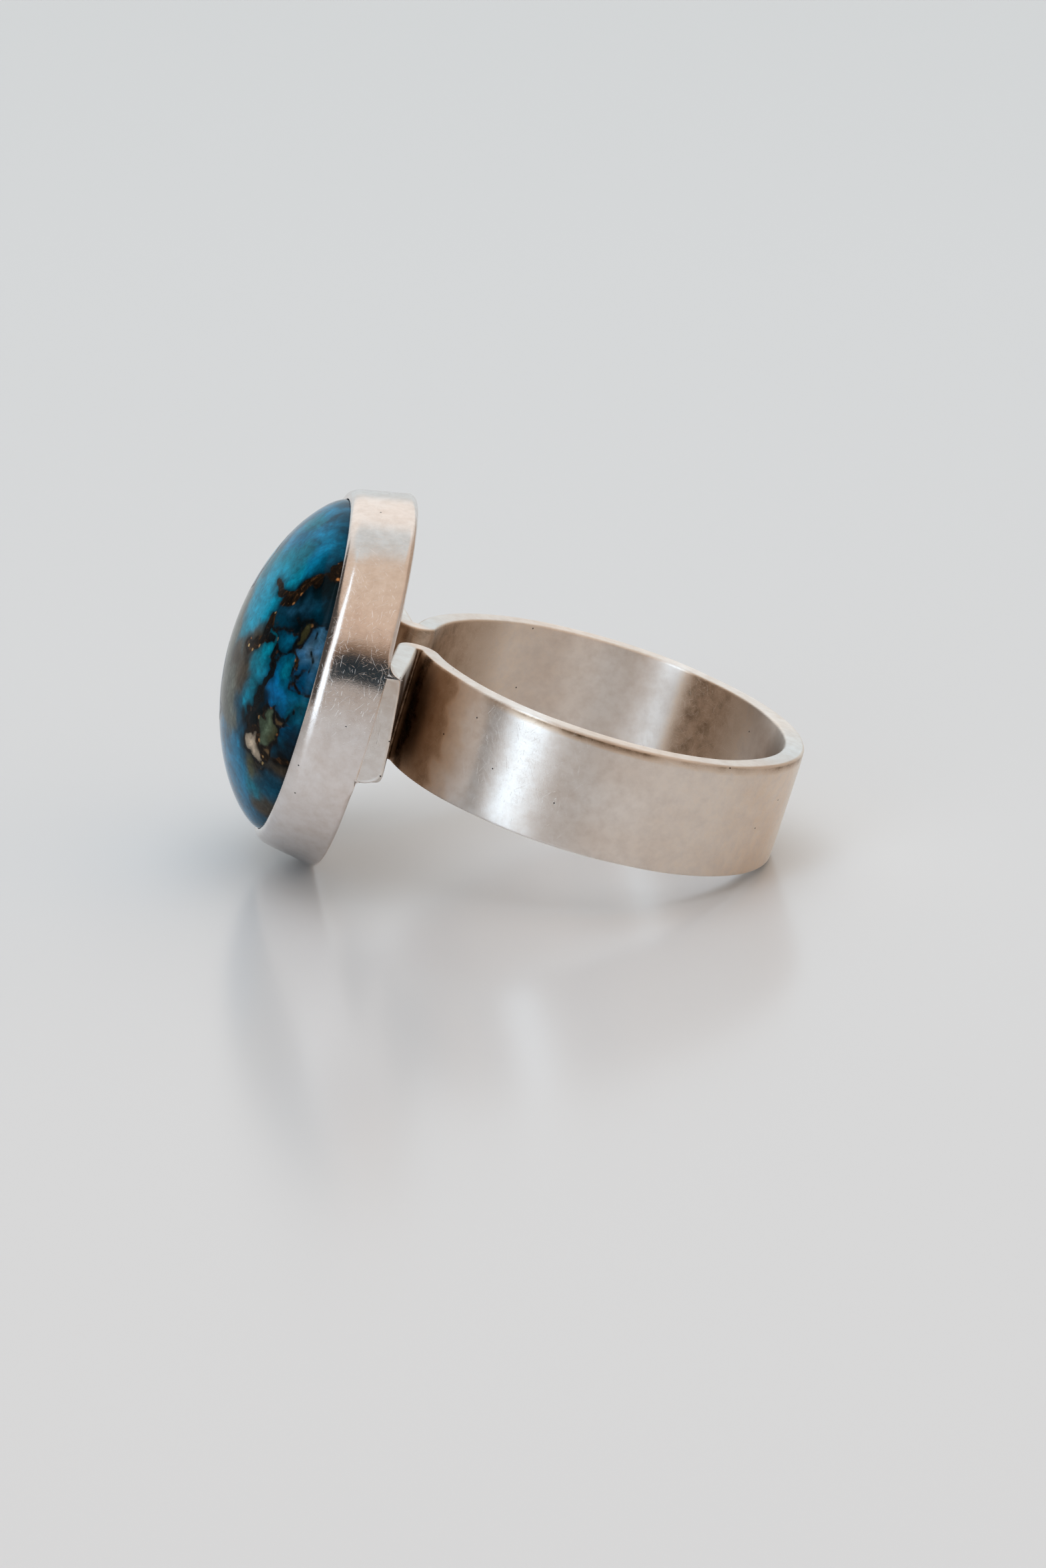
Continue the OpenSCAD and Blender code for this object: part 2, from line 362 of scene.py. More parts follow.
def sterling_silver(name, polish, hairlines, brushing, whites):
    """Sterling silver, sanded with fine paper and worn: a warm white metal whose satin is made of countless
    hairlines. It has darkened to brown where fingers and cloth don't reach, and on the band the same brown
    also paints shade in the notch at each fold and a dark reflection inside the far side. polish is the
    roughness under the hairlines, hairlines is how deep they are, and brushing how much they draw the
    highlights out across the strip, both from 0 to 1. whites are the three shades of the clean metal, from
    the whitest patches to the warmest."""
    material = bpy.data.materials.new(name)
    material.use_nodes = True
    tree = material.node_tree
    tree.nodes.clear()
    surface = add(tree, "UVMap", uv_map="surface_mm")
    toning = add(tree, "Attribute", attribute_name="toning", out="Fac")
    place = add(tree, "TexCoord", out="Object")

    # Loose scratches, from 0.2 to 1.8 mm long: size of the cells in mm, length in mm, seed
    layers = [(0.16, 0.2, 1), (0.26, 0.36, 2), (0.4, 0.6, 3), (0.55, 0.8, 4), (0.8, 1.1, 5), (1.3, 1.8, 6)]
    scratched = 0.0
    for spacing, length, seed in layers:
        layer = scratches(tree, surface, spacing, length, seed)
        scratched = add(tree, "Math", operation="MAXIMUM", in_0=scratched, in_1=layer)

    # Clouds of tarnish about 4 mm across and a mottle of 0.6 mm, cut through by the scratches
    clouds = add(tree, "TexNoise", Vector=place, Scale=1 / (4 * MM), Detail=4, Roughness=0.55)
    mottle = add(tree, "TexNoise", Vector=place, Scale=1 / (0.6 * MM), Detail=4, Roughness=0.65)
    white = add(tree, "ValToRGB", stops=list(zip((0.3, 0.52, 0.75), whites)), Fac=clouds)
    speckle = add(tree, "ValToRGB", stops=[(0.3, "#eee9e5"), (0.6, "#ffffff")], Fac=mottle)
    speckled = add(tree, "Mix", out=2, data_type="RGBA", blend_type="MULTIPLY", in_0=0.8, in_6=white,
                   in_7=speckle)
    patchy = add(tree, "MapRange", Value=mottle, From_Min=0.3, From_Max=0.65, To_Min=0.65, To_Max=1.15)
    patches = add(tree, "Math", operation="MULTIPLY_ADD", in_0=scratched, in_1=-0.5, in_2=patchy)
    # The brown is tarnish, and on the band also painted shade and a painted dark reflection.
    stain_and_shade = add(tree, "Math", operation="MULTIPLY", use_clamp=True, in_0=toning, in_1=patches)
    browns = [(0.0, "#ffffff"), (0.25, "#faecdd"), (0.5, "#dac6b2"), (0.75, "#9a8570"), (1.0, "#1b1613")]
    tarnish_and_shade = add(tree, "ValToRGB", stops=browns, Fac=stain_and_shade)
    colour = add(tree, "Mix", out=2, data_type="RGBA", blend_type="MULTIPLY", in_0=1.0, in_6=speckled,
                 in_7=tarnish_and_shade)
    bare = add(tree, "Math", operation="MULTIPLY", in_0=scratched, in_1=0.4)
    colour = add(tree, "Mix", out=2, data_type="RGBA", in_0=bare, in_6=colour, in_7=linear("#f8f4f1"))

    # Pits where a grain of dirt was rolled in: 0.07 mm across, one in twenty square millimetres
    pit_cells = add(tree, "TexVoronoi", voronoi_dimensions="2D", Vector=surface, Scale=1 / 1.5).node.outputs
    pit_chance = add(tree, "SeparateColor", Color=pit_cells["Color"]).node.outputs
    pit = add(tree, "MapRange", interpolation_type="SMOOTHSTEP", Value=pit_cells["Distance"], From_Min=0.035,
              From_Max=0.015)
    is_pit = add(tree, "Math", operation="LESS_THAN", in_0=pit_chance[0], in_1=0.11)
    pit = add(tree, "Math", operation="MULTIPLY", in_0=pit, in_1=is_pit)
    colour = add(tree, "Mix", out=2, data_type="RGBA", in_0=pit, in_6=colour, in_7=linear("#2a2320"))

    # The satin: hairlines along the strip, 0.05 mm apart, coarser than the real ones so that they show, and
    # grit marks of 0.07 mm
    long_way = add(tree, "VectorMath", operation="MULTIPLY", in_0=surface, in_1=(1 / 2.5, 1 / 0.05, 0))
    satin = add(tree, "TexNoise", noise_dimensions="2D", Vector=long_way, Scale=1, Detail=3, Roughness=0.6)
    grit = add(tree, "TexNoise", Vector=place, Scale=1 / (0.07 * MM), Detail=2, Roughness=0.6)
    rough = add(tree, "MapRange", Value=clouds, From_Min=0.3, From_Max=0.7, To_Min=polish,
                To_Max=polish + 0.05)
    rough = add(tree, "Math", operation="MULTIPLY_ADD", in_0=satin, in_1=hairlines * 0.1, in_2=rough)
    rough = add(tree, "Math", operation="MULTIPLY_ADD", in_0=stain_and_shade, in_1=0.25, in_2=rough)
    brushed = add(tree, "Math", operation="MULTIPLY", in_0=satin, in_1=hairlines)
    height = add(tree, "Math", operation="MULTIPLY_ADD", in_0=grit, in_1=0.9, in_2=brushed)
    fine = add(tree, "Bump", Strength=0.5, Distance=0.004 * MM, Height=height)
    sunk = add(tree, "Math", operation="MULTIPLY_ADD", in_0=pit, in_1=4.0, in_2=scratched)
    cut = add(tree, "Bump", invert=True, Strength=0.7, Distance=0.0022 * MM, Height=sunk, Normal=fine)
    along_strip = add(tree, "Tangent", direction_type="UV_MAP", uv_map="surface_mm")
    shader = add(tree, "BsdfPrincipled", Base_Color=colour, Metallic=1.0, Roughness=rough, Normal=cut,
                 Anisotropic=brushing, Anisotropic_Rotation=0.25, Tangent=along_strip)
    add(tree, "OutputMaterial", Surface=shader)
    return material


satin_whites = ("#fefcfa", "#fcf8f4", "#f7efe8")
band.data.materials.append(sterling_silver("sterling_silver_satin", 0.26, 1.0, 1.0, satin_whites))
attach(band, "root")
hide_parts("ring_mount")

# Bezel
# A shallow cup of sheet silver: a round back plate and a wall of strip, soldered on its edge and pressed in
# over the stone all round into a burnished shoulder. The back edge is filed round, and beside the feet it is
# filed to one face with them.

plate_t = 0.4
wall_t = 0.5
lip_r = 0.1
cad_shoulder_r = 0.5
lean_deg = np.degrees(wall_lean)
plate_front = bezel_h - plate_t
lip_outer_r = (wall_reach - cad_shoulder_r + cad_shoulder_r * lean_sin) / lean_cos
lip_inner_r = lip_outer_r - lip_r
cup_r = (wall_reach - wall_t + plate_front * lean_sin) / lean_cos
sharp_back_r, filed_back_r = 0.02, 0.3

# The shoulder is a gentle crown, then a tight turn into the lip
crown_r, crown_deg = 1.05, 38
turn_r = 0.32
crown_cos, crown_sin = np.cos(np.radians(crown_deg)), np.sin(np.radians(crown_deg))
crown_c = np.array([turn_r * (1 - crown_sin) + crown_r * crown_sin, (turn_r - crown_r) * crown_cos])
wall_end = crown_c + crown_r * np.array([-lean_sin, lean_cos])
front_r = wall_radius(wall_end[0]) - wall_end[1]
wall_end = wall_end + np.array([0, front_r])
crown_c = crown_c + np.array([0, front_r])


def arc(centre, radius, start, end, count):
    """Points on an arc between two angles in degrees, as rows of depth and radius from the cup's middle."""
    a = np.radians(np.linspace(start, end, count))
    return np.stack([centre[0] + radius * np.cos(a), centre[1] + radius * np.sin(a)], -1)


def straight(start, end, count):
    """Points on a straight line, without its two ends."""
    t = (np.arange(1, count + 1) / (count + 1))[:, None]
    return np.array(start) * (1 - t) + np.array(end) * t


def cup_profile(back_r):
    """Section of the cup as rows of depth and radius, from the middle of its back, over the back edge, which
    back_r rounds, the wall, the shoulder and the lip, to the middle of its front."""
    back_x = bezel_h - back_r
    back_c = (back_x, (wall_reach - back_r + back_x * lean_sin) / lean_cos)
    back_edge = arc(back_c, back_r, 0, 90 + lean_deg, 9)
    return np.concatenate([
        straight((bezel_h, 0.0), back_edge[0], 40),
        back_edge,
        straight(back_edge[-1], wall_end, 32),
        arc(crown_c, crown_r, 90 + lean_deg, 90 + crown_deg, 12),
        arc((turn_r, front_r), turn_r, 90 + crown_deg, 180, 9)[1:],
        straight((0, front_r), (0, lip_outer_r), 1),
        arc((lip_r, lip_outer_r), lip_r, 180, 270, 6),
        straight((lip_r, lip_inner_r), (plate_front, cup_r), 8),
        straight((plate_front, cup_r), (plate_front, 0.0), 12),
    ])


# Rounding of the back edge by the height on the cup: as in the CAD below, where the ring rests on it, sharp
# beside the feet, and filed round above
BACK_EDGE = [(-9.1, 0.2), (-3.5, 0.2), (-2.9, 0.02), (2.95, 0.02), (3.2, 0.1), (3.6, 0.21), (4.4, 0.28),
             (9.1, 0.3)]
around = 640
phi = 2 * np.pi * np.arange(around + 1) / around
rim, rim_length = phi * bezel_r, 2 * np.pi * bezel_r
height_on_cup = bezel_r * np.sin(phi)
back_r = np.interp(height_on_cup, *np.array(BACK_EDGE).T)
filed_share = ((back_r - sharp_back_r) / (filed_back_r - sharp_back_r))[None]
sharp, filed = cup_profile(sharp_back_r), cup_profile(filed_back_r)
depth = sharp[:, :1] * (1 - filed_share) + filed[:, :1] * filed_share
radius = sharp[:, 1:] * (1 - filed_share) + filed[:, 1:] * filed_share

# The wall was pressed in by hand, so it is a little out of round and the shoulder has shallow dents
on_wall = smoothstep((radius - 7.9) / 0.3)
near_lip = smoothstep(1 - depth / 1.2)
dent = 0.025 * wander(rim, 21, rim_length, 9)[None]
wave = 0.02 * wander(rim, 22, rim_length / 4, 6)[None]
rise = 0.015 + 0.015 * wander(rim, 23, rim_length / 3, 5)[None]
radius_all = radius + on_wall * ((dent - 0.02) * (0.25 + 0.75 * near_lip) + (wave - 0.01) * near_lip)
depth_all = depth + on_wall * near_lip * rise
cup = np.stack([depth_all, -radius_all * np.cos(phi), radius_all * np.sin(phi)], -1)
length = np.concatenate([[0], np.cumsum(np.hypot(*np.diff(filed, axis=0).T))])
cup_uv = np.stack(np.broadcast_arrays(rim[None], length[:, None]), -1)
flat_part = (filed[:, 1] < bezel_r - 0.4) & (filed[:, 0] > plate_front - 0.01)
cup_uv = np.where(flat_part[:, None, None], cup[..., 1:], cup_uv)

# Dark lines where the feet meet the plate and where the lip meets the stone, and a brown back, darker towards
# its middle and darkest between the folds
seam_half = 0.03
beside_foot = smoothstep((3.3 - height_on_cup) / 0.4) * smoothstep((height_on_cup + 2.9) / 0.4)
foot_seam = np.exp(-((depth - bezel_h) / seam_half) ** 2) * on_wall * beside_foot
foot_seam = foot_seam * (0.45 + 0.3 * wander(rim, 24, 1.9)[None])
at_stone = smoothstep((lip_inner_r + 0.02 - radius) / seam_half) * (depth < 1) * 0.8
behind = smoothstep((bezel_r - 0.8 - radius) / 4) * (depth > bezel_h - 0.02) * 0.5
between_folds = smoothstep((2.7 - np.abs(cup[..., 1])) / 0.5) * smoothstep((4.2 - np.abs(cup[..., 2])) / 1.5)
behind = behind * (1 + 0.15 * between_folds)
cup_toning = np.clip(foot_seam + at_stone + behind, 0, 1)
bezel = closed_stack("bezel", cup[:, :-1], cup_uv, toning=cup_toning[:, :-1])
worn_whites = ("#eee8e5", "#ece5e1", "#e8ddd6")
burnished_silver = sterling_silver("sterling_silver_burnished", 0.1, 0.3, 0.0, worn_whites)
bezel.data.materials.append(burnished_silver)
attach(bezel, "root")
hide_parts("ring_mount")

# Solder
# Silver solder that ran along the edges of each foot and set in small hollow fillets against the back plate.
# At the bezel's edge they were filed flush with the wall.

fillet_from = 5.2
sunk_in = 0.15


def fillet(name, side, edge, on_plate, on_foot, seed):
    """A bar whose section is a corner with a hollow third side: two legs, on the plate and on the foot's
    edge, joined by a quarter of an ellipse that bends in. It runs outwards beside the foot, grows towards
    the bezel's edge, and is cut there by the wall's cone."""
    t = np.concatenate([np.linspace(0, 0.98, 70), [0.99, 0.996, 1, 1, 1, 1, 1]])[:, None]
    shrink = np.concatenate([np.ones(72), [0.985, 0.9, 0.7, 0.4, 0.15]])[:, None]
    grown = (0.12 + 0.88 * smoothstep(t * 1.15)) * (1 + 0.1 * wander(t * 4, seed, 2.3))
    hollow = np.radians(np.linspace(270, 180, 12))[None]
    foot_edge = half_w - 0.03
    if edge < 0:
        distance = (1 - t) * (foot_end_r - fillet_from)
        foot_edge = foot_edge - filed_up * smoothstep(1 - distance / filed_length)
    x = bezel_h - 0.03 + on_foot * grown * (1 + np.cos(hollow))
    z = foot_edge + on_plate * grown * (1 + np.sin(hollow))
    x = np.concatenate([np.full((len(t), 1), bezel_h - sunk_in), x], 1)
    z = np.concatenate([foot_edge - sunk_in + 0 * t, z], 1)
    x = bezel_h + (x - bezel_h) * shrink
    z = foot_edge + (z - foot_edge) * shrink
    top = np.sqrt((wall_radius(x) - flush_gap * 0.6) ** 2 - z**2)
    y = fillet_from + (top - fillet_from) * t
    points = np.stack([x, side * y, edge * z], -1)
    across = np.linspace(0, 1.2, x.shape[1] + 1)
    uv = np.stack(np.broadcast_arrays(4 * t + seed, across[None]), -1)
    piece = closed_stack(name, points, uv, toning=np.full(x.shape, 0.05) + 0.4 * (1 - t))
    piece.data.materials.append(burnished_silver)
    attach(piece, "root")
    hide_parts("ring_mount")


for side_name, side in (("near", -1), ("far", 1)):
    fillet(f"solder_{side_name}_upper", side, 1, 0.55, 0.66, 34 + side)
    fillet(f"solder_{side_name}_lower", side, -1, 0.28, 0.2, 28 + side)

# Stone
# A round cabochon of turquoise in a dark copper-brown matrix, sawn from pressed or natural breccia: chips of
# blue, teal, navy, olive and cream with black-brown veins between them. It is ground to a dome and polished
# to a high gloss.

dome_h = 3.52
dome_power = 1.4
dome_r = lip_inner_r - 0.03
# The palest blue and the slate are painted highlights, and the light ice blue carries a painted highlight
# too.
TONES = {
    "sky": "#08a6ca", "teal": "#048ea8", "azure": "#0484b0", "cobalt": "#047cbc", "deep": "#03526e",
    "night": "#021a20", "slate_highlight": "#225a78", "painted_glint": "#b4daf2", "ice": "#4cb0ea", "sage": "#74886f",
    "olive": "#625f3e", "umber": "#54493a", "mauve": "#6c7268", "tan": "#a98862", "cream": "#f0dcc2",
    "pitch": "#100d0b",
}
# Chips of the side towards the camera, and where their grains sit: degrees down from the dome's top, and
# degrees round it from the side nearest the camera, upwards positive. Chips of one family melt together.
CHIPS = [
    ("sky", "sky", [(45, 56), (38, 50), (31, 43), (25, 37), (28, 52), (36, 62)]),
    ("sky", "teal", [(52, 58), (57, 64), (44, 68), (21, 31), (60, 84), (34, 88)]),
    ("sky", "azure", [(63, 57), (64, 70), (73, 70), (70, 60), (52, 78), (74, 86), (66, 99), (46, 99)]),
    ("sky", "deep", [(73, 54), (82, 57), (84, 67), (81, 79), (86, 90), (86, 102)]),
    ("night", "night", [(71, 40), (81, 41), (87, 44), (68, 36), (80, 35), (58, 33), (60, 38), (84, 30),
                        (62, 29)]),
    # The slate grains are a painted highlight, a lighter streak across the dark part of the dome.
    ("night", "slate_highlight", [(56, 35), (62, 35), (68, 34)]),
    ("night", "deep", [(74, 33), (53, 29), (78, 30)]),
    ("chunk", "deep", [(53, 25), (54, 20), (58, 19)]),
    ("chunk", "azure", [(59, 24)]),
    ("moss", "olive", [(70, 28), (68, 25)]),
    # These light chips near the rim are partly a painted highlight, the glint of the gloss laid into the
    # stone's blue.
    ("ice", "painted_glint", [(76, 21), (77, 17), (76, 19)]),
    ("ice", "ice", [(77, 23), (75, 15), (79, 14)]),
    ("ice", "cobalt", [(73, 23), (73, 20), (71, 18), (72, 12), (74, 7), (76, 9), (80, 19), (78, 11)]),
    ("ice", "deep", [(77, 20), (76, 12), (79, 17), (82, 22), (82, 14), (81, 8), (86, 17)]),
    ("blue", "azure", [(60, 15), (66, 6), (76, 4), (71, 3), (72, 9)]),
    ("blue", "teal", [(62, 11), (78, 0), (71, -3)]),
    ("blue", "cobalt", [(57, 7), (53, 2), (58, 0), (64, 1), (66, -3)]),
    ("blade", "teal", [(45, 19), (42, 14), (41, 7), (37, 11), (41, -2)]),
    ("blade", "sky", [(43, 3), (40, -9), (40, -14)]),
    ("bank", "umber", [(33, 19), (27, 17), (19, 9), (27, -3), (30, 3), (34, -4)]),
    ("bank", "mauve", [(22, -16), (26, -31), (34, -31), (14, -30), (9, 60), (12, 120)]),
    ("bank", "deep", [(36, -20), (36, -26), (43, -29)]),
    ("gap", "pitch", [(41, -21), (47, -20), (46, -14)]),
    ("gap", "night", [(49, -5), (52, -9), (50, -15)]),
    ("leaf", "sage", [(57, -8), (54, -14), (58, -15), (60, -11), (61, -19)]),
    ("leaf", "olive", [(66, -12), (65, -16)]),
    ("crumbs", "tan", [(68, -7), (64, -22)]),
    ("cream", "cream", [(53, -24), (57, -27), (60, -26)]),
    ("east", "deep", [(74, -5), (74, -9), (79, -3), (73, -14), (70, -19)]),
    ("east", "cobalt", [(71, -8)]),
    ("pit", "pitch", [(82, -9), (82, -14), (77, -18), (83, -20)]),
    ("pit", "umber", [(73, -23), (78, -24), (68, -27), (62, -31)]),
    ("khaki", "olive", [(56, -34), (59, -37)]),
    ("south", "deep", [(70, -31), (71, -36), (77, -32), (75, -38), (65, -37)]),
    ("south", "teal", [(66, -42), (62, -44)]),
    ("south", "umber", [(74, -47), (77, -43), (79, -49)]),
    ("foot", "azure", [(50, -43), (55, -48), (61, -53), (70, -57), (45, -46), (44, -37), (40, -60), (58, -72),
                       (78, -68), (35, -95), (56, -98), (76, -92)]),
    ("foot", "deep", [(77, -59), (83, -56), (50, -36), (86, -64)]),
]
# Half the width in mm of the dark line round a family. The others have none, and melt into their neighbours.
LINED = {"moss": 0.05, "ice": 0.03, "leaf": 0.06, "cream": 0.07, "crumbs": 0.05, "chunk": 0.03}
# Veins: what fills them, their width in mm, and the places that they run through, in the chips' degrees
VEINS = [
    ("copper", 0.6, [(90, 52), (79, 49), (70, 46), (61, 43), (53, 41), (47, 37), (42, 32), (39, 25), (35, 20),
                     (28, 17)]),
    ("copper", 0.3, [(41, 54), (44, 49), (48, 44), (52, 41)]),
    ("dark", 0.42, [(39, 25), (45, 22), (49, 18), (50, 12), (50, 5), (48, -3), (47, -12), (44, -20)]),
    ("dark", 0.2, [(48, 36), (52, 31), (58, 30), (63, 30), (67, 31), (75, 30), (84, 26)]),
    ("dark", 0.16, [(50, 17), (56, 16), (62, 19), (64, 24), (64, 30)]),
    ("copper", 0.12, [(64, 18), (66, 16), (68, 12), (72, 8), (74, 6)]),
    ("dark", 0.1, [(77, 24), (76, 17), (78, 10)]),
    ("dark", 0.14, [(53, -4), (60, -4), (65, -4), (70, -5), (76, -1), (84, 0)]),
    ("copper", 0.3, [(47, -22), (52, -19), (58, -22), (62, -23), (68, -23), (76, -21), (86, -19)]),
    ("dark", 0.14, [(48, -31), (54, -29), (60, -31), (66, -31), (72, -27)]),
]


def on_dome(down, round_it):
    """Points on the dome: the radius is the sine and the height a power of the cosine of the angle down from
    its top, and the angle round it starts at the side nearest the camera."""
    a, b = np.radians(down), np.radians(round_it)
    r = dome_r * np.sin(a)
    return np.stack([-dome_h * np.clip(np.cos(a), 0, 1) ** dome_power, -r * np.cos(b), r * np.sin(b)], -1)


# The far half, which the photograph doesn't show, has seeded chips and veins of the same kinds
rng = np.random.default_rng(9)
FAR_TONES = ["sky", "azure", "azure", "cobalt", "teal", "deep", "deep", "night", "sage", "umber", "azure",
             "teal"]
FAR_VEINS = [("copper", 0.4), ("dark", 0.25), ("copper", 0.25), ("dark", 0.2), ("copper", 0.3), ("dark", 0.2)]
far_families = 26
far_line = 0.05
chips, lined, veins = list(CHIPS), dict(LINED), list(VEINS)
for n in range(far_families):
    down, round_it = np.degrees(np.arccos(1 - rng.uniform(0.02, 1))), rng.uniform(118, 244)
    if rng.uniform() < 0.4:
        lined[f"far_{n}"] = far_line
    for _ in range(rng.integers(1, 4)):
        grains = []
        for _ in range(rng.integers(2, 5)):
            grains.append((float(np.clip(down + rng.normal(0, 8), 14, 87)), round_it + rng.normal(0, 9)))
        chips.append((f"far_{n}", FAR_TONES[rng.integers(len(FAR_TONES))], grains))
for kind, width in FAR_VEINS:
    down, round_it, heading = rng.uniform(25, 80), rng.uniform(120, 240), rng.uniform(0, 2 * np.pi)
    route = []
    for _ in range(rng.integers(5, 10)):
        route.append((down, round_it))
        heading = heading + rng.normal(0, 0.5)
        down = float(np.clip(down + 7 * np.cos(heading), 8, 90))
        round_it = round_it + 7 * np.sin(heading) / np.sin(np.radians(down))
    veins.append((kind, width, route))

grain_at = on_dome(*np.array([g for _, _, grains in chips for g in grains], float).T)
grain_chip = np.array([n for n, (_, _, grains) in enumerate(chips) for _ in grains])
families = list(dict.fromkeys(family for family, _, _ in chips))
chip_family = np.array([families.index(family) for family, _, _ in chips])
chip_colour = np.array([linear(TONES[tone])[:3] for _, tone, _ in chips])
family_line = np.array([lined.get(family, 0.0) for family in families])

dome_rows = 150
down = np.concatenate([np.linspace(0.4, 90, dome_rows), np.full(4, 90)])
stone_phi = 2 * np.pi * np.arange(541) / 540
dome = on_dome(*np.broadcast_arrays(down[:, None], np.degrees(stone_phi)))
dome[dome_rows:, :, 0] = np.array([lip_r, 0.8, 1.8, plate_front - 0.12])[:, None]


def bumpy(points, seed, size):
    """A smooth random field at the points, worth about -1 to 1: a sum of plane waves in seeded directions,
    about as long as size."""
    field = np.zeros(points.shape[:-1])
    source = np.random.default_rng(seed)
    for _ in range(12):
        direction = source.normal(size=3)
        direction = direction / np.linalg.norm(direction) * 2 * np.pi / (size * source.uniform(0.6, 1.6))
        field = field + np.sin(points @ direction + source.uniform(0, 2 * np.pi))
    return field / 3.5


# Each point is moved a little before it looks for its nearest grain and vein, which makes their edges ragged.
# The matrix is how far, in mm, a point lies outside the nearest vein or dark line, and less than 0 is inside
# it. A colour blends into the next over melt_width, or over sharp_width across a dark line.
far_off = 1e3
melt_width, sharp_width = 0.2, 0.04
ragged = np.stack([bumpy(dome, 50 + n, 1.6) * 0.15 + bumpy(dome, 60 + n, 0.45) * 0.06 for n in range(3)], -1)
flat_points = (dome + ragged).reshape(-1, 3)
matrix = np.empty(len(flat_points))
tone = np.empty((len(flat_points), 3))
for part in np.array_split(np.arange(len(flat_points)), 40):
    reach = np.linalg.norm(flat_points[part, None] - grain_at[None], axis=-1)
    by_chip = np.full((len(part), len(chips)), far_off)
    np.minimum.at(by_chip, (slice(None), grain_chip), reach)
    by_family = np.full((len(part), len(families)), far_off)
    np.minimum.at(by_family, (slice(None), chip_family), by_chip)
    own = by_family.argmin(1)[:, None]
    first = np.take_along_axis(by_family, own, 1)
    line_half = np.maximum(family_line[None], family_line[own])
    no_line = (np.arange(len(families))[None] == own) | (line_half == 0)
    matrix[part] = np.where(no_line, far_off, (by_family - first) / 2 - line_half).min(1)
    melts = (chip_family[None] == own) | (line_half[:, chip_family] == 0)
    share = np.exp(-(by_chip - first) / np.where(melts, melt_width, sharp_width))
    tone[part] = share @ chip_colour / share.sum(1, keepdims=True)
matrix = matrix.reshape(dome.shape[:2])
tone = tone.reshape(*dome.shape[:2], 3)

copper = smoothstep(1 - np.abs(matrix) / 0.5) * 0.5
uneven = 1 + 0.35 * bumpy(dome, 71, 0.9)
for kind, width, route in veins:
    stops = on_dome(*np.array(route, float).T)
    reach = np.full(len(flat_points), far_off)
    for start, end in zip(stops[:-1], stops[1:]):
        step = end - start
        t = np.clip((flat_points - start) @ step / (step @ step), 0, 1)
        reach = np.minimum(reach, np.linalg.norm(flat_points - start - t[:, None] * step, axis=-1))
    outside = reach.reshape(matrix.shape) - width / 2 * uneven
    matrix = np.minimum(matrix, outside)
    near_vein = smoothstep(1 - outside / 0.3)
    copper = np.maximum(copper, near_vein) if kind == "copper" else copper * (1 - 0.6 * near_vein)

# The matrix is softer than the chips and polishes a little lower
matrix_low = 0.008
sunk = matrix_low * (1 - smoothstep(matrix / 0.08)) * (down[:, None] < 89)
outward = dome - np.array([3.0, 0, 0])
outward = outward / np.linalg.norm(outward, axis=-1, keepdims=True)
dome = dome - outward * sunk[..., None]
stone = closed_stack("cabochon_stone", dome[:, :-1], dome[..., 1:], matrix=matrix[:, :-1],
                     copper=copper[:, :-1], tone=tone[:, :-1])


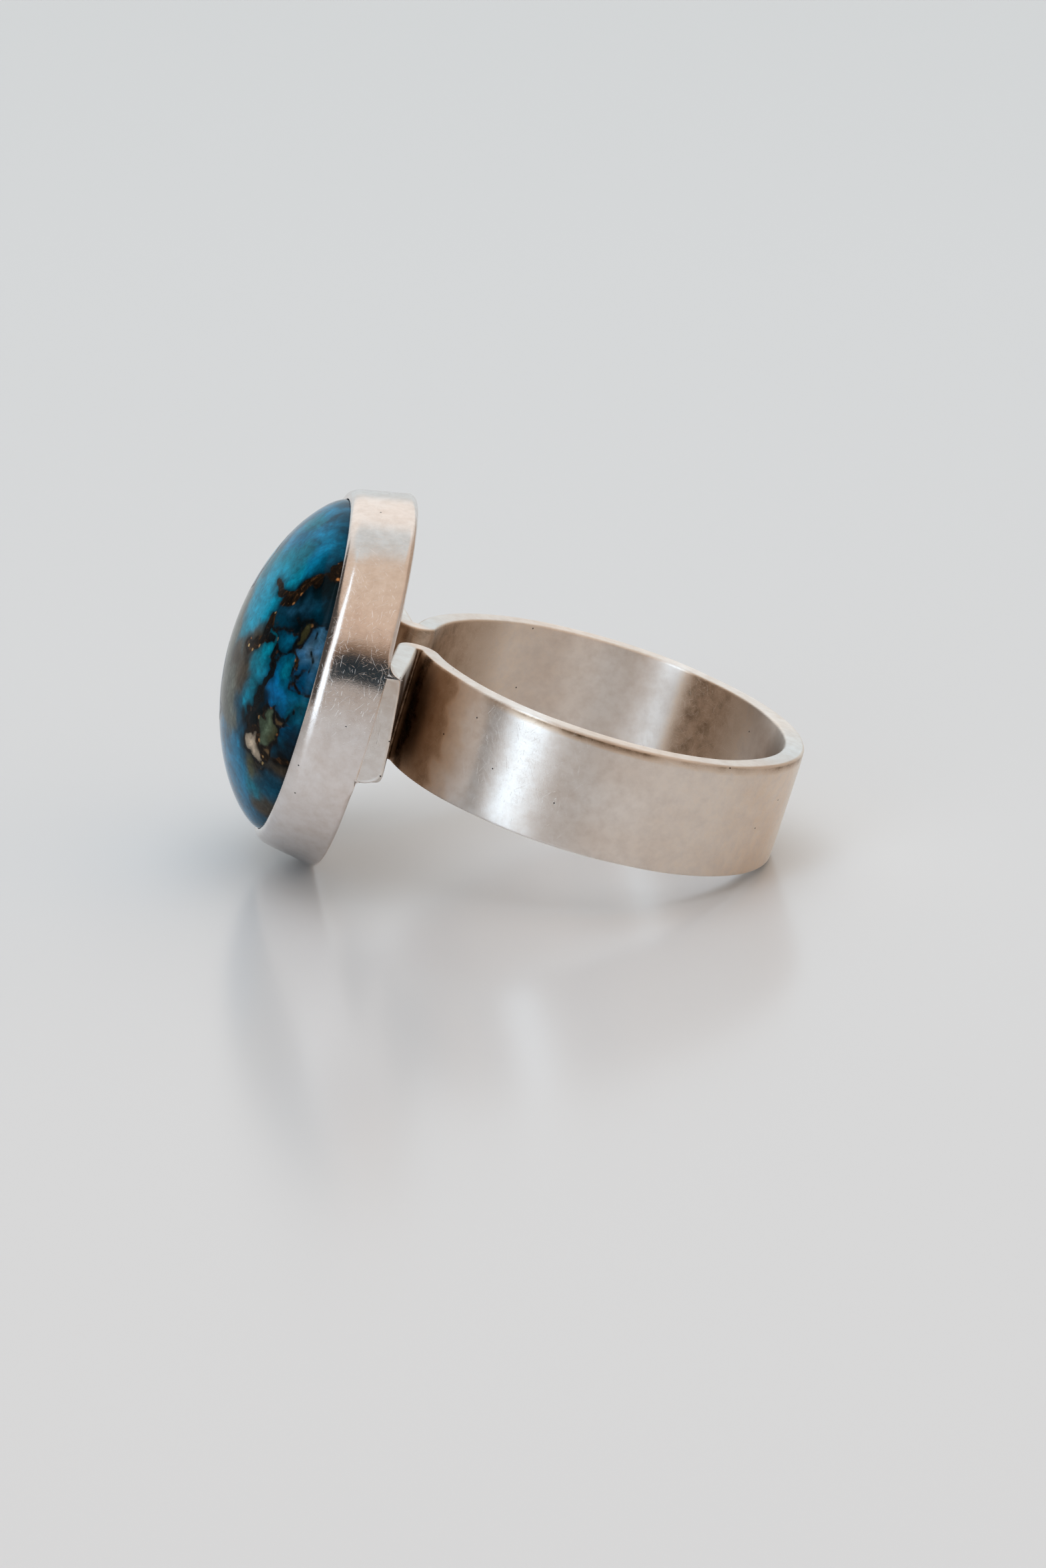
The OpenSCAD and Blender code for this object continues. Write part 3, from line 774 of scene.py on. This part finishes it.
def polished_turquoise():
    """Turquoise in a copper-brown matrix, polished: opaque chips, each cloudy and finely cracked, and dark
    veins with sparks of bronze. The polish is a hard clear gloss over all of it."""
    material = bpy.data.materials.new("turquoise_in_copper_matrix_polished")
    material.use_nodes = True
    tree = material.node_tree
    tree.nodes.clear()
    place = add(tree, "TexCoord", out="Object")
    chip = add(tree, "Attribute", attribute_name="tone", out="Color")
    outside = add(tree, "Attribute", attribute_name="matrix", out="Fac")
    coppery = add(tree, "Attribute", attribute_name="copper", out="Fac")

    # Clouds of 1.5 mm, streaks of 0.5 mm and grains of 0.2 mm make each chip lighter and darker
    clouds = add(tree, "TexNoise", Vector=place, Scale=1 / (1.5 * MM), Detail=4, Roughness=0.6,
                 Distortion=0.8)
    streaks = add(tree, "TexNoise", Vector=place, Scale=1 / (0.5 * MM), Detail=5, Roughness=0.65,
                  Distortion=1.6)
    grain = add(tree, "TexNoise", Vector=place, Scale=1 / (0.2 * MM), Detail=3, Roughness=0.6)
    lighter = add(tree, "MapRange", Value=clouds, From_Min=0.3, From_Max=0.7, To_Min=0.5, To_Max=1.3)
    streaked = add(tree, "MapRange", Value=streaks, From_Min=0.3, From_Max=0.7, To_Min=0.65, To_Max=1.2)
    grainy = add(tree, "MapRange", Value=grain, From_Min=0.3, From_Max=0.7, To_Min=0.85, To_Max=1.1)
    shade = add(tree, "Math", operation="MULTIPLY", in_0=lighter, in_1=streaked)
    shade = add(tree, "Math", operation="MULTIPLY", in_0=shade, in_1=grainy)

    # A chip is darker towards its edge, where the matrix shows through it
    rim = add(tree, "MapRange", interpolation_type="SMOOTHSTEP", Value=outside, From_Min=0.0, From_Max=0.5,
              To_Min=0.4, To_Max=1.0)
    shade = add(tree, "Math", operation="MULTIPLY", in_0=shade, in_1=rim)
    chip = add(tree, "VectorMath", operation="SCALE", in_0=chip, Scale=shade)
    chip = add(tree, "VectorMath", operation="MINIMUM", in_0=chip, in_1=(0.9, 0.9, 0.9))

    # Cracks inside the chips, about 1 mm apart, fine and dark, in some places only
    bent = add(tree, "TexNoise", Vector=place, Scale=1 / (0.8 * MM), Detail=3, out="Color")
    bent = add(tree, "VectorMath", operation="MULTIPLY_ADD", in_0=bent, in_1=(0.5 * MM,) * 3, in_2=place)
    cracks = add(tree, "TexVoronoi", feature="DISTANCE_TO_EDGE", Vector=bent, Scale=1 / (1.1 * MM))
    cracked = add(tree, "MapRange", Value=cracks, From_Min=0.0, From_Max=0.04, To_Min=0.4, To_Max=0.0)
    where = add(tree, "MapRange", Value=clouds, From_Min=0.58, From_Max=0.7)
    cracked = add(tree, "Math", operation="MULTIPLY", in_0=cracked, in_1=where)
    chip = add(tree, "Mix", out=2, data_type="RGBA", in_0=cracked, in_6=chip, in_7=linear("#04202c"))

    # The matrix, teal-black, or copper-brown in the copper veins, with its edge blurred by the grain
    edge = add(tree, "Math", operation="MULTIPLY_ADD", in_0=grain, in_1=-0.16, in_2=outside)
    in_matrix = add(tree, "MapRange", interpolation_type="SMOOTHSTEP", Value=edge, From_Min=0.0,
                    From_Max=-0.11)
    dark = add(tree, "ValToRGB", stops=[(0.35, "#03080b"), (0.6, "#07161c"), (0.8, "#0d272e")], Fac=grain)
    browns = [(0.35, "#0a0705"), (0.55, "#21160c"), (0.75, "#5e4024")]
    brown = add(tree, "ValToRGB", stops=browns, Fac=streaks)
    filling = add(tree, "Mix", out=2, data_type="RGBA", in_0=coppery, in_6=dark, in_7=brown)

    # Sparks of bronze in the copper veins, 0.1 to 0.2 mm across
    spark_cells = add(tree, "TexVoronoi", Vector=place, Scale=1 / (0.4 * MM)).node.outputs
    spark = add(tree, "MapRange", Value=spark_cells["Distance"], From_Min=0.3, From_Max=0.16)
    chance = add(tree, "SeparateColor", Color=spark_cells["Color"]).node.outputs
    lucky = add(tree, "Math", operation="LESS_THAN", in_0=chance[0], in_1=0.4)
    spark = add(tree, "Math", operation="MULTIPLY", in_0=spark, in_1=lucky)
    spark = add(tree, "Math", operation="MULTIPLY", in_0=spark, in_1=coppery)
    bronze = add(tree, "Mix", out=2, data_type="RGBA", in_0=chance[1], in_6=linear("#c07a42"),
                 in_7=linear("#e2c284"))
    filling = add(tree, "Mix", out=2, data_type="RGBA", in_0=spark, in_6=filling, in_7=bronze)
    colour = add(tree, "Mix", out=2, data_type="RGBA", in_0=in_matrix, in_6=chip, in_7=filling)

    metal = add(tree, "Math", operation="MULTIPLY", in_0=spark, in_1=in_matrix)
    metal = add(tree, "Math", operation="MULTIPLY", in_0=metal, in_1=0.5)
    rough = add(tree, "MapRange", Value=in_matrix, To_Min=0.08, To_Max=0.25)
    height = add(tree, "Math", operation="MULTIPLY_ADD", in_0=in_matrix, in_1=-0.3, in_2=grain)
    bump = add(tree, "Bump", Strength=0.3, Distance=0.005 * MM, Height=height)
    shader = add(tree, "BsdfPrincipled", Base_Color=colour, Metallic=metal, Roughness=rough, IOR=1.5,
                 Normal=bump, Specular_IOR_Level=0.06)
    add(tree, "OutputMaterial", Surface=shader)
    return material


stone.data.materials.append(polished_turquoise())
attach(stone, "root")
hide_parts("cabochon")

# Studio
# A plain pale floor, soft light from above and from a tall panel at the left, and a camera that looks at the
# ring as the photograph does.

floor_half = 1.5
corners = [(-floor_half, -floor_half, 0), (floor_half, -floor_half, 0), (floor_half, floor_half, 0),
           (-floor_half, floor_half, 0)]
floor_mesh = bpy.data.meshes.new("floor")
floor_mesh.from_pydata(corners, [], [(0, 1, 2, 3)])
floor = bpy.data.objects.new("floor", floor_mesh)
bpy.context.scene.collection.objects.link(floor)
paint = bpy.data.materials.new("pale_satin_paint")
paint.use_nodes = True
paint.node_tree.nodes.clear()
paint_shader = add(paint.node_tree, "BsdfPrincipled", Base_Color=linear("#dfe4e8"), Roughness=0.2)
add(paint.node_tree, "OutputMaterial", Surface=paint_shader)
floor_mesh.materials.append(paint)

# The studio, seen from the ring. It gets warmer and lighter with the height above the horizon, and soft-edged
# fields lie over that: middle, full half width and outer half width round from the camera's side, in degrees,
# the same three up from the horizon, colour and strength.
FIELDS = [
    ("white screen", 180, 25, 70, 45, 90, 91, "#e8f0f3", 0.88),
    ("grey board", -97, 36, 43, 27, 19, 25, "#4b4643", 1.0),
    ("brown board", 120, 14, 34, 0, 30, 50, "#b19c89", 1.0),
    ("bright upper screen", 175, 25, 60, 38, 12, 26, "#fdf9f4", 1.05),
    ("tall panel", -40, 4, 18, 30, 46, 60, "#e2f2ff", 2.15),
    ("brown edge", -6, 20, 34, 31, 4, 10.5, "#8c7461", 1.0),
    ("dark board", -6, 11, 16, 23, 7, 10.5, "#1e2d35", 1.0),
]
world = bpy.data.worlds.new("studio_room")
world.use_nodes = True
tree = world.node_tree
tree.nodes.clear()
toward = add(tree, "TexCoord", out="Generated")
toward_x, toward_y, toward_z = add(tree, "SeparateXYZ", Vector=toward).node.outputs
up = add(tree, "Math", operation="ARCSINE", in_0=toward_z)
up = add(tree, "Math", operation="MULTIPLY", in_0=up, in_1=180 / np.pi)
to_camera = add(tree, "Math", operation="MULTIPLY", in_0=toward_y, in_1=-1.0)
turn = add(tree, "Math", operation="ARCTAN2", in_0=toward_x, in_1=to_camera)
turn = add(tree, "Math", operation="MULTIPLY", in_0=turn, in_1=180 / np.pi)
height = add(tree, "Math", operation="MULTIPLY", in_0=up, in_1=1 / 90)
room = add(tree, "ValToRGB", stops=[
    (0.0, "#bbb4ae"), (0.2, "#b6afa9"), (0.38, "#cdb6a3"), (0.55, "#dec8b6"), (0.85, "#e0cdbb")], Fac=height)
for name, turn_mid, turn_full, turn_none, up_mid, up_full, up_none, colour, strength in FIELDS:
    aside = add(tree, "Math", operation="SUBTRACT", in_0=turn, in_1=turn_mid)
    aside = add(tree, "Math", operation="WRAP", in_0=aside, in_1=180.0, in_2=-180.0)
    aside = add(tree, "Math", operation="ABSOLUTE", in_0=aside)
    across = add(tree, "MapRange", interpolation_type="SMOOTHSTEP", Value=aside, From_Min=turn_none,
                 From_Max=turn_full)
    above = add(tree, "Math", operation="SUBTRACT", in_0=up, in_1=up_mid)
    above = add(tree, "Math", operation="ABSOLUTE", in_0=above)
    upward = add(tree, "MapRange", interpolation_type="SMOOTHSTEP", Value=above, From_Min=up_none,
                 From_Max=up_full)
    field = add(tree, "Math", operation="MULTIPLY", in_0=across, in_1=upward)
    glow = [strength * channel for channel in linear(colour)[:3]] + [1.0]
    room = add(tree, "Mix", out=2, label=name, data_type="RGBA", in_0=field, in_6=room, in_7=glow)
add(tree, "OutputWorld", Surface=add(tree, "Background", Color=room))
bpy.context.scene.world = world

# The overhead panel lights the ring from half a metre up, and isn't seen in the silver
overhead = bpy.data.lights.new("overhead_panel", "AREA")
overhead.size = 0.4
overhead.energy = 0.67
overhead.color = linear("#f1f6ff")[:3]
overhead_light = bpy.data.objects.new("overhead_panel", overhead)
bpy.context.scene.collection.objects.link(overhead_light)
overhead_light.location = (0.0, 0.0, 0.5)
overhead_light.visible_glossy = False
overhead_light.visible_camera = False

camera_data = bpy.data.cameras.new("camera")
camera_data.sensor_width = 36.0
focal_px, picture_h = 8000, 2351
camera_data.lens = focal_px * camera_data.sensor_width / picture_h
camera_data.clip_start = 0.01
camera_distance = 0.253
azimuth, elevation = np.radians(-3.41), np.radians(16.98)
aim = np.array([0.0005, 0.0, 0.0034])
level = np.cos(elevation)
back = np.array([np.sin(azimuth) * level, -np.cos(azimuth) * level, np.sin(elevation)])
camera = bpy.data.objects.new("camera", camera_data)
bpy.context.scene.collection.objects.link(camera)
camera.location = aim + back * camera_distance
camera.rotation_mode = "QUATERNION"
camera.rotation_quaternion = (-Vector(back)).to_track_quat("-Z", "Y")
bpy.context.scene.camera = camera
bpy.context.scene.view_settings.view_transform = "Standard"
